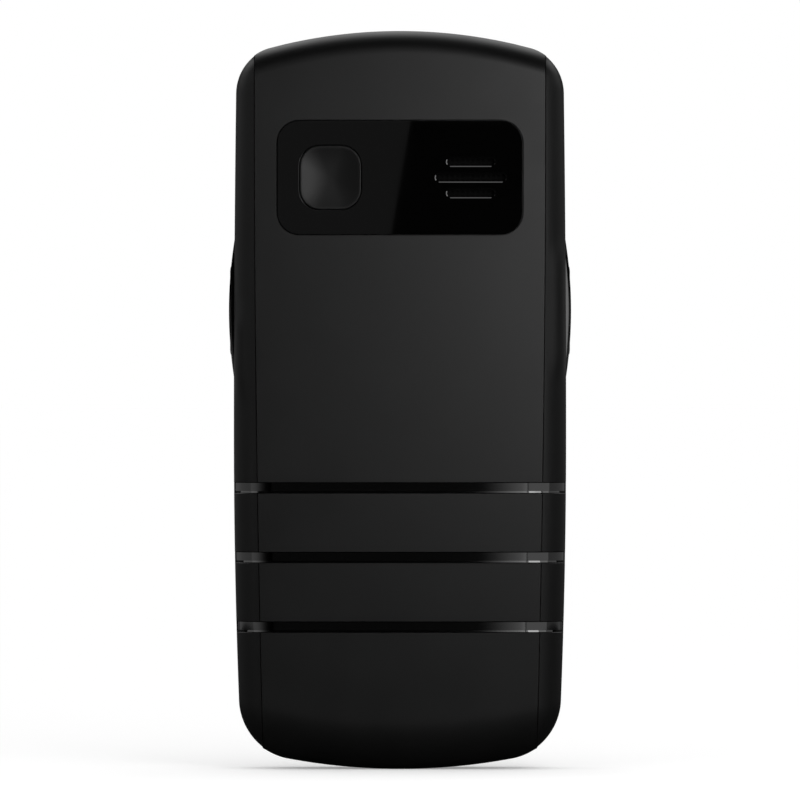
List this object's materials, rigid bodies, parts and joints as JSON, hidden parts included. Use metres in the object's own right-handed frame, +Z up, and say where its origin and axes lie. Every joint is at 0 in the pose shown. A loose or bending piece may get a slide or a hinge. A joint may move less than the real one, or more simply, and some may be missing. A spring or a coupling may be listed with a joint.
{
  "type": "feature phone",
  "caption": "Bar-shaped feature phone with a keypad, a display, a removable ribbed back cover over a battery, side keys, a headset socket and a torch.",
  "frame": {"origin": "middle of the width and depth, at the lowest point of the upright phone", "axes": "+Z up along the phone's length; -Y out of the back; +X to the right of someone who looks at the back"},
  "size_m": [0.0544, 0.0136, 0.117],
  "materials": {
    "cover_plastic": "soft satin moulded black, finely textured",
    "gloss_trim": "polished black",
    "back_key": "satin dark grey",
    "housing_plastic": "satin moulded black",
    "keypad": "satin dark grey with pale figures",
    "lens": "clear, hard-coated",
    "display": "unlit display",
    "torch_clear": "clear moulded lens",
    "rubber": "matt silicone",
    "board": "green solder mask",
    "film": "thin clear film",
    "mesh": "fine black mesh",
    "steel": "pressed, bright",
    "copper": "gold plated",
    "battery_foil": "bare drawn can",
    "small_parts": "moulded, with plated parts"
  },
  "bodies": {
    "chassis": {"rear_panel": "gloss_trim", "volume_bezel": "gloss_trim", "lock_bezel": "gloss_trim", "front_housing": "housing_plastic", "middle_frame": "housing_plastic", "loudspeaker": "housing_plastic", "earpiece_receiver": "housing_plastic", "display_lens": "lens", "display_module": "display", "torch_lens": "torch_clear", "keypad_mat": "rubber", "display_gasket": "rubber", "main_board": "board", "dome_sheet": "film", "speaker_mesh": "mesh", "earpiece_mesh": "mesh", "sim_holder": "steel", "card_holder": "steel", "shield_can": "steel", "usb_socket": "steel", "frame_screws": "steel", "vibration_motor": "steel", "battery_contacts": "copper", "aerial": "copper", "assist_switch": "small_parts", "volume_switches": "small_parts", "lock_switch": "small_parts", "microphone": "small_parts", "torch_led": "small_parts", "headset_socket": "small_parts"},
    "rear_cover": {"rear_cover": "cover_plastic", "groove_inlay_upper": "gloss_trim", "groove_inlay_middle": "gloss_trim", "groove_inlay_lower": "gloss_trim"},
    "battery": {"battery_can": "battery_foil", "battery_end": "housing_plastic"},
    "motor_weight": {"motor_weight": "steel"},
    "assist_key": {"assist_key": "back_key"},
    "volume_rocker": {"volume_rocker": "back_key"},
    "lock_key": {"lock_key": "back_key"},
    "key_star": {"key_star": "keypad"},
    "key_0": {"key_0": "keypad"},
    "key_hash": {"key_hash": "keypad"},
    "key_7": {"key_7": "keypad"},
    "key_8": {"key_8": "keypad"},
    "key_9": {"key_9": "keypad"},
    "key_4": {"key_4": "keypad"},
    "key_5": {"key_5": "keypad"},
    "key_6": {"key_6": "keypad"},
    "key_1": {"key_1": "keypad"},
    "key_2": {"key_2": "keypad"},
    "key_3": {"key_3": "keypad"},
    "call_key": {"call_key": "keypad"},
    "down_key": {"down_key": "keypad"},
    "end_key": {"end_key": "keypad"},
    "soft_key_left": {"soft_key_left": "keypad"},
    "up_key": {"up_key": "keypad"},
    "soft_key_right": {"soft_key_right": "keypad"}
  },
  "joints": [
    {"name": "cover_slide", "type": "slide", "parent": "chassis", "child": "rear_cover", "axis": [0, -1, 0], "range_m": [0, 0.02]},
    {"name": "battery_lift", "type": "slide", "parent": "chassis", "child": "battery", "axis": [0, -1, 0], "range_m": [0, 0.008]},
    {"name": "motor_spin", "type": "hinge", "parent": "chassis", "child": "motor_weight", "pos_m": [-0.009, -0.00305, 0.0146], "axis": [1, 0, 0], "continuous": true},
    {"name": "assist_press", "type": "slide", "parent": "chassis", "child": "assist_key", "axis": [0, 1, 0], "range_m": [0, 0.0003], "stiffness_N_per_m": 400},
    {"name": "volume_rock", "type": "hinge", "parent": "chassis", "child": "volume_rocker", "pos_m": [0.0238, 0.00085, 0.0727], "axis": [0, 1, 0], "range_deg": [-2, 2], "stiffness_Nm_per_rad": 0.02},
    {"name": "lock_press", "type": "slide", "parent": "chassis", "child": "lock_key", "axis": [1, 0, 0], "range_m": [0, 0.0003], "stiffness_N_per_m": 400},
    {"name": "key_star_press", "type": "slide", "parent": "chassis", "child": "key_star", "axis": [0, -1, 0], "range_m": [0, 0.0004], "stiffness_N_per_m": 400},
    {"name": "key_0_press", "type": "slide", "parent": "chassis", "child": "key_0", "axis": [0, -1, 0], "range_m": [0, 0.0004], "stiffness_N_per_m": 400},
    {"name": "key_hash_press", "type": "slide", "parent": "chassis", "child": "key_hash", "axis": [0, -1, 0], "range_m": [0, 0.0004], "stiffness_N_per_m": 400},
    {"name": "key_7_press", "type": "slide", "parent": "chassis", "child": "key_7", "axis": [0, -1, 0], "range_m": [0, 0.0004], "stiffness_N_per_m": 400},
    {"name": "key_8_press", "type": "slide", "parent": "chassis", "child": "key_8", "axis": [0, -1, 0], "range_m": [0, 0.0004], "stiffness_N_per_m": 400},
    {"name": "key_9_press", "type": "slide", "parent": "chassis", "child": "key_9", "axis": [0, -1, 0], "range_m": [0, 0.0004], "stiffness_N_per_m": 400},
    {"name": "key_4_press", "type": "slide", "parent": "chassis", "child": "key_4", "axis": [0, -1, 0], "range_m": [0, 0.0004], "stiffness_N_per_m": 400},
    {"name": "key_5_press", "type": "slide", "parent": "chassis", "child": "key_5", "axis": [0, -1, 0], "range_m": [0, 0.0004], "stiffness_N_per_m": 400},
    {"name": "key_6_press", "type": "slide", "parent": "chassis", "child": "key_6", "axis": [0, -1, 0], "range_m": [0, 0.0004], "stiffness_N_per_m": 400},
    {"name": "key_1_press", "type": "slide", "parent": "chassis", "child": "key_1", "axis": [0, -1, 0], "range_m": [0, 0.0004], "stiffness_N_per_m": 400},
    {"name": "key_2_press", "type": "slide", "parent": "chassis", "child": "key_2", "axis": [0, -1, 0], "range_m": [0, 0.0004], "stiffness_N_per_m": 400},
    {"name": "key_3_press", "type": "slide", "parent": "chassis", "child": "key_3", "axis": [0, -1, 0], "range_m": [0, 0.0004], "stiffness_N_per_m": 400},
    {"name": "call_key_press", "type": "slide", "parent": "chassis", "child": "call_key", "axis": [0, -1, 0], "range_m": [0, 0.0004], "stiffness_N_per_m": 400},
    {"name": "down_key_press", "type": "slide", "parent": "chassis", "child": "down_key", "axis": [0, -1, 0], "range_m": [0, 0.0004], "stiffness_N_per_m": 400},
    {"name": "end_key_press", "type": "slide", "parent": "chassis", "child": "end_key", "axis": [0, -1, 0], "range_m": [0, 0.0004], "stiffness_N_per_m": 400},
    {"name": "soft_key_left_press", "type": "slide", "parent": "chassis", "child": "soft_key_left", "axis": [0, -1, 0], "range_m": [0, 0.0004], "stiffness_N_per_m": 400},
    {"name": "up_key_press", "type": "slide", "parent": "chassis", "child": "up_key", "axis": [0, -1, 0], "range_m": [0, 0.0004], "stiffness_N_per_m": 400},
    {"name": "soft_key_right_press", "type": "slide", "parent": "chassis", "child": "soft_key_right", "axis": [0, -1, 0], "range_m": [0, 0.0004], "stiffness_N_per_m": 400}
  ],
  "couplings": [
    {"joint": "battery_lift", "follows": "cover_slide", "ratio": 0.4}
  ]
}
